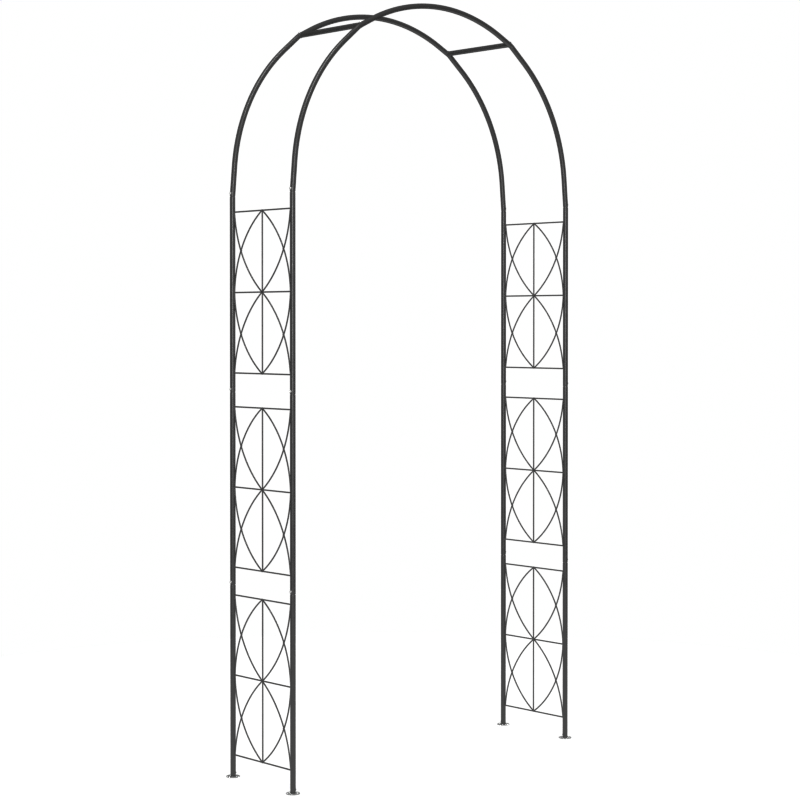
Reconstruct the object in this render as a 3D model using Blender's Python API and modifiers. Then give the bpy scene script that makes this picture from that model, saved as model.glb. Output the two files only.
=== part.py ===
"""Metal trellis arch: a free-standing round-topped garden arch of steel tube and rod.

Two round hoops stand side by side on four legs. Each leg is three straight tubes
socketed end to end, each hoop is three bent tubes, two crossbars tie the hoops
together, and six rod trellis panels fill the two sides.

Axes: +X runs across the passage (left is -X), +Y runs through it (front is -Y) and
+Z is up. The origin is on the ground, midway between the four legs. Units: metres.
"""

import math

import bmesh
import bpy
from mathutils import Matrix, Vector

ARCH_NAME = "metal_trellis_arch"

# Layout, measured between tube centrelines
SPAN = 1.172
DEPTH = 0.294

# Clearance kept between neighbouring pieces
GAP = 0.0003

# Frame tube: plain at its lower end, swaged down to a spigot at its upper end
TUBE_RADIUS = 0.008
TUBE_WALL = 0.001
SPIGOT_RADIUS = 0.0066
SPIGOT_LENGTH = 0.030
SHOULDER_LENGTH = 0.003
COPE_SIDES = 24

# Heights of the three socket joints in each leg
JOINT_HEIGHTS = (0.592, 1.185, 1.7845)
SECTION_NAMES = ("lower", "middle", "upper")

# Hoop: each haunch leans in from the leg, bends and runs straight again to a corner,
# where the crown's straight end takes over. Angles are measured from upright on the
# haunch and from level on the crown.
HAUNCH_LEAN = math.radians(4.8)
HAUNCH_STRAIGHT = 0.0913
HAUNCH_RADIUS = 0.549
HAUNCH_BEND = math.radians(49.8)
HAUNCH_STEPS = 10
HAUNCH_END_STRAIGHT = 0.0785
CROWN_END_STRAIGHT = 0.0535
CROWN_HALF_ANGLE = math.radians(27.0)
CROWN_HALF_STEPS = 5

# Self-tapping pan-head screws: plain on the joints, lower in the head on the feet
SCREW_HEAD_RADIUS = 0.004
SCREW_CROWN_RADIUS = 0.0024
SCREW_RIM_SHARE = 0.45
SCREW_CROWN_SHARE = 0.9
JOINT_HEAD_HEIGHT = 0.0026
FOOT_HEAD_HEIGHT = 0.0016
SCREW_SHANK_RADIUS = 0.0019
SCREW_SHANK_LENGTH = 0.009
SCREW_SIDES = 8
SCREW_HOLE_RADIUS = 0.0024
SCREW_ABOVE_JOINT = 0.0082
SCREW_SEAT = TUBE_RADIUS + GAP

# Feet: a round plate with four ground-peg holes and a tubular plug inside the leg
FOOT_RADIUS = 0.021
FOOT_THICKNESS = 0.002
FOOT_PLUG_RADIUS = 0.0064
FOOT_PLUG_BORE_RADIUS = 0.0054
FOOT_PLUG_HEIGHT = 0.030
FOOT_HOLE_RADIUS = 0.0024
FOOT_HOLE_PITCH_RADIUS = 0.0145
FOOT_HOLE_COUNT = 4
FOOT_SIDES = 16
FOOT_SCREW_HEIGHT = 0.0115

# Trellis: each panel is two cells high, with three rails and one centre rod
ROD_RADIUS = 0.002
CELL_HEIGHT = 0.2463
RAIL_COUNT = 3
PANEL_BASES = (0.0683, 0.6464, 1.2427)
LENS_RADIUS = 0.309
SCROLL_RADIUS = 0.344
ARC_STEPS = 5
ROD_LAY = 0.0003

# Bevel resolutions that give 12-sided tubes and 8-sided rods
TUBE_BEVEL = 4
ROD_BEVEL = 2

# How far a cutter runs past what it cuts, and how long the tool that copes a crossbar is
CUT_THROUGH = 0.002
COPE_LENGTH = 0.032
COPE_CLEARANCE = 0.00045

# Merge distances and the angle that shows as an edge
WELD_DISTANCE = 0.00005
SEAM_DISTANCE = 0.00001
SHARP_ANGLE = math.radians(35)

SIDES = {"left": -1, "right": 1}
ENDS = {"front": -1, "back": 1}


def clear_scene():
    """Remove every object that the scene starts with."""
    for obj in list(bpy.data.objects):
        bpy.data.objects.remove(obj, do_unlink=True)


def make_material(name, colour, roughness, metallic):
    """Return a Principled material of one plain finish."""
    material = bpy.data.materials.new(name)
    material.use_nodes = True
    shader = material.node_tree.nodes["Principled BSDF"]
    shader.inputs["Base Color"].default_value = (*colour, 1.0)
    shader.inputs["Roughness"].default_value = roughness
    shader.inputs["Metallic"].default_value = metallic
    material.diffuse_color = (*colour, 1.0)
    return material


def link_working_object(name, data):
    """Put a helper object in the scene, at the origin."""
    obj = bpy.data.objects.new(name, data)
    bpy.context.scene.collection.objects.link(obj)
    return obj


def finished_mesh(obj, material, tools=()):
    """Return obj's mesh with its modifiers applied, and clear obj and its tools away."""
    depsgraph = bpy.context.evaluated_depsgraph_get()
    mesh = bpy.data.meshes.new_from_object(obj.evaluated_get(depsgraph))
    mesh.name = obj.name
    mesh.materials.clear()
    mesh.materials.append(material)
    mesh.shade_smooth()
    mesh.set_sharp_from_angle(angle=SHARP_ANGLE)
    for used in (obj, *tools):
        bpy.data.objects.remove(used, do_unlink=True)
    return mesh


def combine(obj, tool, operation):
    """Add an exact Boolean modifier to obj."""
    modifier = obj.modifiers.new(operation.title(), "BOOLEAN")
    modifier.operation = operation
    modifier.solver = "EXACT"
    modifier.object = tool
    tool.hide_render = True
    tool.display_type = "WIRE"


def turned(name, outline, sides):
    """Turn an outline of (radius, height) points about the Z axis, which it starts and ends on."""
    mesh = bpy.data.meshes.new(name)
    edges = [(i, i + 1) for i in range(len(outline) - 1)]
    mesh.from_pydata([(radius, 0.0, height) for radius, height in outline], edges, [])
    obj = link_working_object(name, mesh)
    screw = obj.modifiers.new("Turn", "SCREW")
    screw.axis = "Z"
    screw.steps = sides
    screw.render_steps = sides
    screw.use_merge_vertices = True
    screw.merge_threshold = SEAM_DISTANCE
    return obj


def cylinder(name, radius, length, sides, centre, direction):
    """Return a plain cylinder, centred on a point and lying along a direction."""
    mesh = bpy.data.meshes.new(name)
    turn = Vector(direction).to_track_quat("Z", "Y").to_matrix().to_4x4()
    shape = bmesh.new()
    bmesh.ops.create_cone(
        shape,
        cap_ends=True,
        segments=sides,
        radius1=radius,
        radius2=radius,
        depth=length,
        matrix=Matrix.Translation(centre) @ turn,
    )
    shape.to_mesh(mesh)
    shape.free()
    return link_working_object(name, mesh)


def skin_along(name, path, radii, bevel_resolution, capped):
    """Return the mesh of a round skin along a path, with its own radius at each point."""
    curve = bpy.data.curves.new(name, "CURVE")
    curve.dimensions = "3D"
    curve.bevel_depth = TUBE_RADIUS
    curve.bevel_resolution = bevel_resolution
    curve.use_fill_caps = capped
    spline = curve.splines.new("POLY")
    spline.points.add(len(path) - 1)
    for point, place, radius in zip(spline.points, path, radii):
        point.co = (*place, 1.0)
        point.radius = radius / TUBE_RADIUS
    rail = link_working_object(name + "_curve", curve)
    depsgraph = bpy.context.evaluated_depsgraph_get()
    mesh = bpy.data.meshes.new_from_object(rail.evaluated_get(depsgraph))
    bpy.data.objects.remove(rail, do_unlink=True)
    return mesh


def working_object(name, shape):
    """Turn a bmesh into a working object, with its faces turned outward."""
    bmesh.ops.recalc_face_normals(shape, faces=shape.faces)
    mesh = bpy.data.meshes.new(name)
    shape.to_mesh(mesh)
    shape.free()
    return link_working_object(name, mesh)


def bent_bar(name, path, radii, bevel_resolution):
    """Return a solid round bar along a path."""
    shape = bmesh.new()
    shape.from_mesh(skin_along(name, path, radii, bevel_resolution, capped=True))
    bmesh.ops.remove_doubles(shape, verts=shape.verts, dist=WELD_DISTANCE)
    return working_object(name, shape)


def bent_tube(name, path, radii):
    """Return an open-ended tube along a path, with its own outer radius at each point."""
    shape = bmesh.new()
    shape.from_mesh(skin_along(name, path, radii, TUBE_BEVEL, capped=False))
    bmesh.ops.remove_doubles(shape, verts=shape.verts, dist=WELD_DISTANCE)
    tube = working_object(name, shape)
    wall = tube.modifiers.new("Wall", "SOLIDIFY")
    wall.thickness = TUBE_WALL
    wall.offset = -1
    wall.use_even_offset = True
    return tube


def straight_rod(name, start, end):
    """Return one straight trellis rod."""
    return bent_bar(name, (start, end), (ROD_RADIUS, ROD_RADIUS), ROD_BEVEL)


def screw_hole(name, place, direction):
    """Return a cutter for a screw hole through one wall, at a point on the tube's axis."""
    outward = Vector(direction)
    length = TUBE_RADIUS
    centre = Vector(place) + outward * (TUBE_RADIUS + CUT_THROUGH - length / 2)
    return cylinder(name, SCREW_HOLE_RADIUS, length, SCREW_SIDES, centre, outward)


# --- Legs -------------------------------------------------------------------------


def leg_tube_mesh(section, material):
    """Return one leg tube of the left side, with its axis on the Z axis."""
    first = section == 0
    last = section == len(SECTION_NAMES) - 1
    lean = HAUNCH_LEAN if last else 0.0
    bottom = FOOT_THICKNESS + GAP if first else JOINT_HEIGHTS[section - 1] + GAP
    joint = Vector((0.0, 0.0, JOINT_HEIGHTS[section]))
    shoulder = Vector((0.0, 0.0, JOINT_HEIGHTS[section] - SHOULDER_LENGTH))
    spigot_along = Vector((math.sin(lean), 0.0, math.cos(lean)))
    spigot_outward = Vector((-math.cos(lean), 0.0, math.sin(lean)))
    path = [Vector((0.0, 0.0, bottom)), shoulder, joint, joint + spigot_along * SPIGOT_LENGTH]
    radii = [TUBE_RADIUS] * 2 + [SPIGOT_RADIUS] * 2
    tube = bent_tube(SECTION_NAMES[section] + "_leg_tube", path, radii)
    upper_place = joint + spigot_along * SCREW_ABOVE_JOINT
    upper_hole = screw_hole("upper_hole", upper_place, spigot_outward)
    if first:
        lower_hole = screw_hole("lower_hole", (0, 0, FOOT_SCREW_HEIGHT), (1, 0, 0))
    else:
        height = JOINT_HEIGHTS[section - 1] + SCREW_ABOVE_JOINT
        lower_hole = screw_hole("lower_hole", (0, 0, height), (-1, 0, 0))
    tools = (upper_hole, lower_hole)
    for tool in tools:
        combine(tube, tool, "DIFFERENCE")
    return finished_mesh(tube, material, tools)


def foot_mesh(material):
    """Return a foot of the left side: peg plate and hollow plug, turned as one piece."""
    outline = [
        (0.0, FOOT_THICKNESS),
        (FOOT_PLUG_BORE_RADIUS, FOOT_THICKNESS),
        (FOOT_PLUG_BORE_RADIUS, FOOT_PLUG_HEIGHT),
        (FOOT_PLUG_RADIUS, FOOT_PLUG_HEIGHT),
        (FOOT_PLUG_RADIUS, FOOT_THICKNESS),
        (FOOT_RADIUS, FOOT_THICKNESS),
        (FOOT_RADIUS, 0.0),
        (0.0, 0.0),
    ]
    foot = turned("foot", outline, FOOT_SIDES)
    tools = [screw_hole("plug_hole", (0, 0, FOOT_SCREW_HEIGHT), (1, 0, 0))]
    for index in range(FOOT_HOLE_COUNT):
        angle = math.tau * (index + 0.5) / FOOT_HOLE_COUNT
        place = (
            FOOT_HOLE_PITCH_RADIUS * math.cos(angle),
            FOOT_HOLE_PITCH_RADIUS * math.sin(angle),
            FOOT_THICKNESS / 2,
        )
        length = FOOT_THICKNESS + 2 * CUT_THROUGH
        tools.append(cylinder("peg_hole", FOOT_HOLE_RADIUS, length, SCREW_SIDES, place, (0, 0, 1)))
    for tool in tools:
        combine(foot, tool, "DIFFERENCE")
    return finished_mesh(foot, material, tools)


def screw_mesh(name, head_height, material):
    """Return a pan-head screw along Z, with the underside of its head at the origin."""
    outline = [
        (0.0, head_height),
        (SCREW_CROWN_RADIUS, SCREW_CROWN_SHARE * head_height),
        (SCREW_HEAD_RADIUS, SCREW_RIM_SHARE * head_height),
        (SCREW_HEAD_RADIUS, 0.0),
        (SCREW_SHANK_RADIUS, 0.0),
        (SCREW_SHANK_RADIUS, -SCREW_SHANK_LENGTH),
        (0.0, -SCREW_SHANK_LENGTH),
    ]
    return finished_mesh(turned(name, outline, SCREW_SIDES), material)


# --- Hoops ------------------------------------------------------------------------


# The haunch's socket leans inward on the upper leg's top joint
HOOP_FOOT = Vector((-SPAN / 2, 0.0, JOINT_HEIGHTS[-1]))
LEAN_ALONG = Vector((math.sin(HAUNCH_LEAN), 0.0, math.cos(HAUNCH_LEAN)))
LEAN_OUTWARD = Vector((-math.cos(HAUNCH_LEAN), 0.0, math.sin(HAUNCH_LEAN)))
BEND_START = HOOP_FOOT + LEAN_ALONG * HAUNCH_STRAIGHT
UPPER_SCREW_PLACE = HOOP_FOOT + LEAN_ALONG * SCREW_ABOVE_JOINT


def haunch_point(angle):
    """Return a point on the left haunch's bend, where the tube is at an angle from upright."""
    x = BEND_START.x + HAUNCH_RADIUS * (math.cos(HAUNCH_LEAN) - math.cos(angle))
    z = BEND_START.z + HAUNCH_RADIUS * (math.sin(angle) - math.sin(HAUNCH_LEAN))
    return Vector((x, 0.0, z))


# Haunch and crown meet at a corner, eased over a shoulder's length on each side of it
HAUNCH_END_ALONG = Vector((math.sin(HAUNCH_BEND), 0.0, math.cos(HAUNCH_BEND)))
CROWN_ALONG = Vector((math.cos(CROWN_HALF_ANGLE), 0.0, math.sin(CROWN_HALF_ANGLE)))
CROWN_OUTWARD = Vector((-math.sin(CROWN_HALF_ANGLE), 0.0, math.cos(CROWN_HALF_ANGLE)))
CORNER = haunch_point(HAUNCH_BEND) + HAUNCH_END_ALONG * HAUNCH_END_STRAIGHT
CORNER_START = CORNER - HAUNCH_END_ALONG * SHOULDER_LENGTH
CORNER_END = CORNER + CROWN_ALONG * SHOULDER_LENGTH
CROWN_JOINT = (CORNER_START + CORNER_END) / 2
CORNER_ALONG = (CORNER_END - CORNER_START).normalized()

# The crossbar and the crown screw share a place on the crown's straight end
CROWN_SCREW_PLACE = CORNER + CROWN_ALONG * SCREW_ABOVE_JOINT
CROWN_BEND_START = CORNER + CROWN_ALONG * CROWN_END_STRAIGHT
CROWN_RADIUS = -CROWN_BEND_START.x / math.sin(CROWN_HALF_ANGLE)
CROWN_CENTRE_HEIGHT = CROWN_BEND_START.z - CROWN_RADIUS * math.cos(CROWN_HALF_ANGLE)


def crown_point(angle):
    """Return a point on the crown's bend, at an angle left of its top."""
    x = -CROWN_RADIUS * math.sin(angle)
    z = CROWN_CENTRE_HEIGHT + CROWN_RADIUS * math.cos(angle)
    return Vector((x, 0.0, z))


def mirrored(points):
    """Return a left path carried on to the right side, in reverse order."""
    return [Vector((-point.x, point.y, point.z)) for point in reversed(points)]


def extended(path, distance):
    """Return a path whose two ends run on by a distance."""
    start = path[0] + (path[0] - path[1]).normalized() * distance
    end = path[-1] + (path[-1] - path[-2]).normalized() * distance
    return [start, *path, end]


def haunch_mesh(material):
    """Return the front left haunch: socket on the leg below, spigot into the crown above."""
    step = (HAUNCH_BEND - HAUNCH_LEAN) / HAUNCH_STEPS
    bend = [haunch_point(HAUNCH_LEAN + step * i) for i in range(HAUNCH_STEPS + 1)]
    body = [HOOP_FOOT + LEAN_ALONG * GAP, *bend, CORNER_START]
    spigot = [CROWN_JOINT, CORNER_END, CORNER + CROWN_ALONG * SPIGOT_LENGTH]
    path = body + spigot
    radii = [TUBE_RADIUS] * len(body) + [SPIGOT_RADIUS] * len(spigot)
    tube = bent_tube("haunch", path, radii)
    leg_hole = screw_hole("leg_hole", UPPER_SCREW_PLACE, LEAN_OUTWARD)
    crown_hole = screw_hole("crown_hole", CROWN_SCREW_PLACE, CROWN_OUTWARD)
    tools = (leg_hole, crown_hole)
    for tool in tools:
        combine(tube, tool, "DIFFERENCE")
    return finished_mesh(tube, material, tools)


def crown_mesh(material):
    """Return a crown: a flat arch whose two ends are sockets over the haunch spigots."""
    step = CROWN_HALF_ANGLE / CROWN_HALF_STEPS
    rise = [crown_point(CROWN_HALF_ANGLE - step * i) for i in range(CROWN_HALF_STEPS)]
    left = [CROWN_JOINT + CORNER_ALONG * GAP, CORNER_END, *rise]
    path = [*left, crown_point(0.0), *mirrored(left)]
    tube = bent_tube("crown", path, [TUBE_RADIUS] * len(path))
    left_hole = screw_hole("left_hole", CROWN_SCREW_PLACE, CROWN_OUTWARD)
    right_place = (-CROWN_SCREW_PLACE.x, 0.0, CROWN_SCREW_PLACE.z)
    right_outward = (-CROWN_OUTWARD.x, 0.0, CROWN_OUTWARD.z)
    right_hole = screw_hole("right_hole", right_place, right_outward)
    tools = (left_hole, right_hole)
    for tool in tools:
        combine(tube, tool, "DIFFERENCE")
    return finished_mesh(tube, material, tools)


def crossbar_mesh(material):
    """Return the left crossbar: a straight tube coped at both ends to fit the hoops."""
    half = DEPTH / 2 - CUT_THROUGH
    reach = Vector((0, half, 0))
    ends = (CROWN_SCREW_PLACE - reach, CROWN_SCREW_PLACE + reach)
    bar = bent_tube("crossbar", ends, (TUBE_RADIUS, TUBE_RADIUS))
    tools = []
    for end in ENDS.values():
        place = CROWN_SCREW_PLACE + Vector((0, end * DEPTH / 2, 0))
        radius = TUBE_RADIUS + COPE_CLEARANCE
        tools.append(cylinder("cope", radius, COPE_LENGTH, COPE_SIDES, place, CROWN_ALONG))
    for tool in tools:
        combine(bar, tool, "DIFFERENCE")
    return finished_mesh(bar, material, tools)


# --- Trellis ----------------------------------------------------------------------

POST_FACE = DEPTH / 2 - TUBE_RADIUS - GAP
ROD_REACH = POST_FACE - ROD_RADIUS
ROD_PLANE = ROD_RADIUS + GAP / 2


def quarter_arc(radius):
    """Return an arc bulging from the leg, at height 0, to the panel's centre, one cell up."""
    leg_end = Vector((ROD_REACH, 0.0))
    centre_end = Vector((0.0, CELL_HEIGHT))
    half_chord = (centre_end - leg_end).length / 2
    outward = Vector((CELL_HEIGHT, ROD_REACH)).normalized()
    pull_back = math.sqrt(radius ** 2 - half_chord ** 2)
    centre = (leg_end + centre_end) / 2 - outward * pull_back
    start = math.atan2(leg_end.y - centre.y, leg_end.x - centre.x)
    sweep = 2 * math.asin(half_chord / radius)
    angles = [start + sweep * step / ARC_STEPS for step in range(ARC_STEPS + 1)]
    return [(centre.x + radius * math.cos(a), centre.y + radius * math.sin(a)) for a in angles]


def lens_path(side, lay):
    """Return one side of the pointed lens, whose tips run on over the other side's."""
    arc = quarter_arc(LENS_RADIUS)
    top = [Vector((lay, side * y, CELL_HEIGHT + z)) for y, z in reversed(arc)]
    bottom = [Vector((lay, side * y, CELL_HEIGHT - z)) for y, z in arc[1:]]
    return extended(top + bottom, ROD_RADIUS)


def scroll_path(side, lay):
    """Return one S scroll: from a leg at the top, through the middle, to the other leg."""
    arc = quarter_arc(SCROLL_RADIUS)
    top = [(lay, side * y, 2 * CELL_HEIGHT - z) for y, z in arc]
    bottom = [(lay, -side * y, z) for y, z in reversed(arc[:-1])]
    return top + bottom


def scrollwork_mesh(material):
    """Return the four bent rods of a left panel, welded where they cross."""
    rods = []
    for path_of in (lens_path, scroll_path):
        for side in ENDS.values():
            lay = -ROD_PLANE - ROD_LAY * len(rods)
            path = path_of(side, lay)
            rods.append(bent_bar("bent_rod", path, [ROD_RADIUS] * len(path), ROD_BEVEL))
    for rod in rods[1:]:
        combine(rods[0], rod, "UNION")
    return finished_mesh(rods[0], material, rods[1:])


def rail_ladder_mesh(material):
    """Return the three rails and the centre rod of a left panel, welded together."""
    rails = []
    for index in range(RAIL_COUNT):
        height = index * CELL_HEIGHT
        start = (ROD_PLANE, -POST_FACE, height)
        rails.append(straight_rod("rail", start, (ROD_PLANE, POST_FACE, height)))
    centre_plane = ROD_PLANE + ROD_LAY
    top = 2 * CELL_HEIGHT
    upright = straight_rod("upright", (centre_plane, 0, 0), (centre_plane, 0, top))
    for rail in rails:
        combine(upright, rail, "UNION")
    return finished_mesh(upright, material, rails)


# --- Assembly ---------------------------------------------------------------------


def place_piece(collection, name, mesh, location, rotation=None):
    """Add one named piece of the arch to its collection."""
    piece = bpy.data.objects.new(name, mesh)
    piece.location = location
    if rotation is not None:
        piece.rotation_mode = "QUATERNION"
        piece.rotation_quaternion = rotation
    collection.objects.link(piece)
    return piece


def facing(side):
    """Return the turn that puts a left-hand piece on a side."""
    angle = math.pi if side > 0 else 0.0
    return Matrix.Rotation(angle, 3, "Z").to_quaternion()


def aimed(direction):
    """Return the turn that points a screw's head along a direction."""
    return Vector(direction).to_track_quat("Z", "Y")


def add_legs_and_feet(collection, tube_finish, foot_finish):
    """Add the twelve leg tubes and the four feet."""
    tubes = [leg_tube_mesh(section, tube_finish) for section in range(len(SECTION_NAMES))]
    foot = foot_mesh(foot_finish)
    for side_name, side in SIDES.items():
        for end_name, end in ENDS.items():
            corner = f"{side_name}_{end_name}"
            place = (side * SPAN / 2, end * DEPTH / 2, 0)
            for section_name, tube in zip(SECTION_NAMES, tubes):
                place_piece(collection, f"{section_name}_leg_{corner}", tube, place, facing(side))
            place_piece(collection, f"foot_{corner}", foot, place, facing(side))


def add_hoops(collection, finish):
    """Add the four haunches, the two crowns and the two crossbars."""
    haunch = haunch_mesh(finish)
    crown = crown_mesh(finish)
    crossbar = crossbar_mesh(finish)
    for end_name, end in ENDS.items():
        place = (0, end * DEPTH / 2, 0)
        place_piece(collection, f"crown_{end_name}", crown, place)
        for side_name, side in SIDES.items():
            name = f"haunch_{side_name}_{end_name}"
            place_piece(collection, name, haunch, place, facing(side))
    for side_name, side in SIDES.items():
        place_piece(collection, f"crossbar_{side_name}", crossbar, (0, 0, 0), facing(side))


def add_screws(collection, joint_finish, foot_finish):
    """Add one screw at every leg joint, crown joint and foot."""
    joint_screw = screw_mesh("joint_screw", JOINT_HEAD_HEIGHT, joint_finish)
    foot_screw = screw_mesh("foot_screw", FOOT_HEAD_HEIGHT, foot_finish)
    outward = Vector((-1, 0, 0))
    spots = [
        ("lower", Vector((-SPAN / 2, 0, JOINT_HEIGHTS[0] + SCREW_ABOVE_JOINT)), outward),
        ("middle", Vector((-SPAN / 2, 0, JOINT_HEIGHTS[1] + SCREW_ABOVE_JOINT)), outward),
        ("upper", UPPER_SCREW_PLACE, LEAN_OUTWARD),
        ("crown", CROWN_SCREW_PLACE, CROWN_OUTWARD),
    ]
    for side_name, side in SIDES.items():
        for end_name, end in ENDS.items():
            corner = f"{side_name}_{end_name}"
            y = end * DEPTH / 2
            for joint_name, axis_place, direction in spots:
                seat = axis_place + direction * SCREW_SEAT
                place = (-side * seat.x, y, seat.z)
                aim = aimed((-side * direction.x, 0, direction.z))
                name = f"{joint_name}_joint_screw_{corner}"
                place_piece(collection, name, joint_screw, place, aim)
            place = (side * (SPAN / 2 - SCREW_SEAT), y, FOOT_SCREW_HEIGHT)
            place_piece(collection, f"foot_screw_{corner}", foot_screw, place, aimed((-side, 0, 0)))


def add_trellis(collection, finish):
    """Add a rail ladder and a set of scrolls to each panel of both sides."""
    ladder = rail_ladder_mesh(finish)
    scrollwork = scrollwork_mesh(finish)
    for side_name, side in SIDES.items():
        for section_name, base in zip(SECTION_NAMES, PANEL_BASES):
            place = (side * SPAN / 2, 0, base)
            panel = f"{section_name}_{side_name}"
            place_piece(collection, f"rail_ladder_{panel}", ladder, place, facing(side))
            place_piece(collection, f"scrollwork_{panel}", scrollwork, place, facing(side))


def main():
    """Build the whole arch."""
    clear_scene()
    collection = bpy.data.collections.new(ARCH_NAME)
    bpy.context.scene.collection.children.link(collection)
    tube_finish = make_material("tube_powder_coat", (0.055, 0.055, 0.055), 0.45, 0.0)
    rod_finish = make_material("rod_powder_coat", (0.045, 0.045, 0.045), 0.5, 0.0)
    foot_finish = make_material("foot_plate_grey", (0.30, 0.30, 0.30), 0.5, 0.0)
    zinc = make_material("zinc_plated_steel", (0.72, 0.72, 0.70), 0.3, 1.0)
    black_oxide = make_material("black_oxide_steel", (0.03, 0.03, 0.03), 0.4, 1.0)
    add_legs_and_feet(collection, tube_finish, foot_finish)
    add_hoops(collection, tube_finish)
    add_screws(collection, zinc, black_oxide)
    add_trellis(collection, rod_finish)


main()
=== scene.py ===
"""Metal trellis arch: the finished surfaces of a sectional steel garden arch.

The arch is socketed steel tube and welded rod under a charcoal powder coat. Every
piece is built in place round the CAD frame, in metres, with +X across the passage
(left is -X), +Y through it (front is -Y) and +Z up.
"""

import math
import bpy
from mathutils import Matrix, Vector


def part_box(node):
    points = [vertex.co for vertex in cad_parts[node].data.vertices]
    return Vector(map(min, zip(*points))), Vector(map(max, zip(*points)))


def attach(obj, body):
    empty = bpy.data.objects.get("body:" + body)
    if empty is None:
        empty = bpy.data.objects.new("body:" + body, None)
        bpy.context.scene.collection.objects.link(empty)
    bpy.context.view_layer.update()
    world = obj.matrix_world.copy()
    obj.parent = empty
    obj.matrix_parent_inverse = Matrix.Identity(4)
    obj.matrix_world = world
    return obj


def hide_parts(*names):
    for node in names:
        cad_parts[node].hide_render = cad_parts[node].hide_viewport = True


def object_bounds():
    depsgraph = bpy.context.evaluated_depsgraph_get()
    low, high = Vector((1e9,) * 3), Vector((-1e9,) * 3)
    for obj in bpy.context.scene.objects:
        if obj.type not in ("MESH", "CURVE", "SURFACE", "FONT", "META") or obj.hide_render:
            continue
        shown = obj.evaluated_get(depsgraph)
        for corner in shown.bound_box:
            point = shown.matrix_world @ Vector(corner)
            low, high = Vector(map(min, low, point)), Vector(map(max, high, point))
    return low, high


bl_info = {
    "name": "Metal Trellis Arch",
    "version": (1, 0, 0),
    "blender": (4, 5, 0),
    "location": "View3D > Sidebar > Trellis Arch",
    "description": "Builds a powder-coated garden arch with rod trellis sides",
    "category": "Add Mesh",
}

import bmesh
import bpy
from bpy.props import FloatProperty, FloatVectorProperty, IntProperty, PointerProperty
from mathutils import Matrix, Vector, noise

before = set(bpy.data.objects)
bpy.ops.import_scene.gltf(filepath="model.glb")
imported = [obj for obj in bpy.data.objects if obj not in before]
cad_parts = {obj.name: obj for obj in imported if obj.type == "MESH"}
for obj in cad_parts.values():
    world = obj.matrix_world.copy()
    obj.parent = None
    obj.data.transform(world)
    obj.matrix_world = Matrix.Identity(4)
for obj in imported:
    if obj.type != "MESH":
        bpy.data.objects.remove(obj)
CAD_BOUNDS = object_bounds()

SIDES = {"left": -1, "right": 1}
ENDS = {"front": -1, "back": 1}
SECTIONS = ("lower", "middle", "upper")
MM = 0.001
SWAGE_STEPS = 8
SOCKET_SEAM = 0.3 * MM  # left open between a shoulder and the next tube's lip

# --- Measures taken from the CAD frame ----------------------------------------------


def middle_of(node):
    """Return the middle of a CAD node's box."""
    low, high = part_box(node)
    return (low + high) / 2


def size_of(node):
    """Return the size of a CAD node's box."""
    low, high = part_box(node)
    return high - low


LEG_AXIS = middle_of("lower_leg_left_front")
HALF_SPAN = -LEG_AXIS.x
HALF_DEPTH = -LEG_AXIS.y
TUBE_RADIUS = size_of("lower_leg_left_front").x / 2
FOOT_RADIUS = size_of("foot_left_front").x / 2
LEG_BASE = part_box("lower_leg_left_front")[0].z
PLUG_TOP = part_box("foot_left_front")[1].z
JOINT_LIPS = [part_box(f"{name}_left_front")[0].z for name in ("middle_leg", "upper_leg", "haunch")]
SPIGOT_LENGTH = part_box("lower_leg_left_front")[1].z - JOINT_LIPS[0]
SCREW_ABOVE_LIP = middle_of("lower_joint_screw_left_front").z - JOINT_LIPS[0]
FOOT_SCREW_HEIGHT = middle_of("foot_screw_left_front").z
SCREW_HEAD_RADIUS = size_of("lower_joint_screw_left_front").z / 2
SCREW_LENGTH = size_of("lower_joint_screw_left_front").x
FOOT_SCREW_LENGTH = size_of("foot_screw_left_front").x
ARCH_TOP = CAD_BOUNDS[1].z
PANEL_BASES = [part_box(f"rail_ladder_{name}_left")[0].z for name in SECTIONS]
PANEL_HEIGHT = size_of("rail_ladder_lower_left").z

# --- Settings -----------------------------------------------------------------------


def length(name, description, default, low=0.0, high=1.0):
    """Return a length property, in metres."""
    return FloatProperty(
        name=name,
        description=description,
        default=default,
        min=low,
        max=high,
        precision=5,
        subtype="DISTANCE",
        unit="LENGTH",
    )


def angle(name, description, degrees):
    """Return an angle property, given in degrees."""
    return FloatProperty(
        name=name,
        description=description,
        default=math.radians(degrees),
        subtype="ANGLE",
        unit="ROTATION",
    )


def share(name, description, default):
    """Return a property that runs from none to all."""
    return FloatProperty(
        name=name,
        description=description,
        default=default,
        min=0.0,
        max=1.0,
        precision=3,
        subtype="FACTOR",
    )


def colour(name, description, default):
    """Return a colour property."""
    return FloatVectorProperty(
        name=name,
        description=description,
        default=default,
        min=0.0,
        max=1.0,
        size=3,
        subtype="COLOR",
    )


def power(name, description, watts):
    """Return a light's power, in watts."""
    return FloatProperty(name=name, description=description, default=watts, min=0.0, unit="POWER")


def count(name, description, default, low, high):
    """Return a whole-number property."""
    return IntProperty(name=name, description=description, default=default, min=low, max=high)


class TubeSettings(bpy.types.PropertyGroup):
    """Sizes of the frame tube and of its socket joints."""

    wall: length("Wall", "Thickness of the tube's wall", 1.0 * MM)
    lip: length("Lip", "Rounding of a socket's cut edge", 0.35 * MM)
    shoulder: length("Shoulder", "Length over which a tube end is swaged down", 3.2 * MM)
    swage: length("Swage", "How far the spigot is swaged in from the tube's surface", 1.4 * MM)
    sides: count("Sides", "Facets round a tube", 40, 8, 128)
    step: length("Step", "Distance between rings along a bend", 9 * MM, 1 * MM)


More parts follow.
